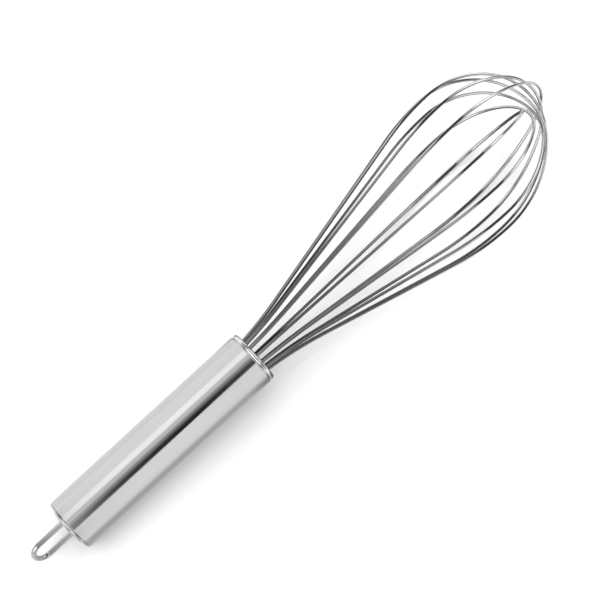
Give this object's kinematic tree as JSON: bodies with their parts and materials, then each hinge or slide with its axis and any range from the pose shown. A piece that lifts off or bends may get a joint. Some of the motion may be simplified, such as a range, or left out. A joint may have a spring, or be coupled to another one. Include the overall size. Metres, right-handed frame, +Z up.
{
  "type": "balloon whisk",
  "caption": "Balloon whisk with a tubular steel handle, a balloon of bent wire loops crossing at the tip, and a swivelling hanging loop.",
  "frame": {"origin": "on the surface the whisk lies on, under the middle of its bounding box", "axes": "+X from the handle towards the tip of the balloon, +Z up; the handle's axis leans up by 5.32 degrees towards the tip"},
  "size_m": [0.2962, 0.0686, 0.0671],
  "materials": {
    "handle_steel": "satin, with fine lengthwise lines",
    "bright_steel": "polished stainless steel",
    "wire_steel": "polished stainless wire",
    "holder_plastic": "smooth moulded",
    "resin": "cast"
  },
  "bodies": {
    "whisk": {"handle_tube": "handle_steel", "front_ring": "bright_steel", "wire_holder": "holder_plastic", "resin_plug": "resin", "rear_cap": "handle_steel", "wire_loop_1": "wire_steel", "wire_loop_2": "wire_steel", "wire_loop_3": "wire_steel", "wire_loop_4": "wire_steel", "wire_loop_5": "wire_steel", "wire_loop_6": "wire_steel", "wire_loop_7": "wire_steel"},
    "hanger": {"swivel_boss": "handle_steel", "swivel_washer": "handle_steel", "hanging_loop": "bright_steel"}
  },
  "joints": [
    {"name": "hanger_swivel", "type": "hinge", "parent": "whisk", "child": "hanger", "pos_m": [-0.1277, 0, 0.01232], "axis": [-0.9957, 0, -0.0928], "continuous": true}
  ]
}
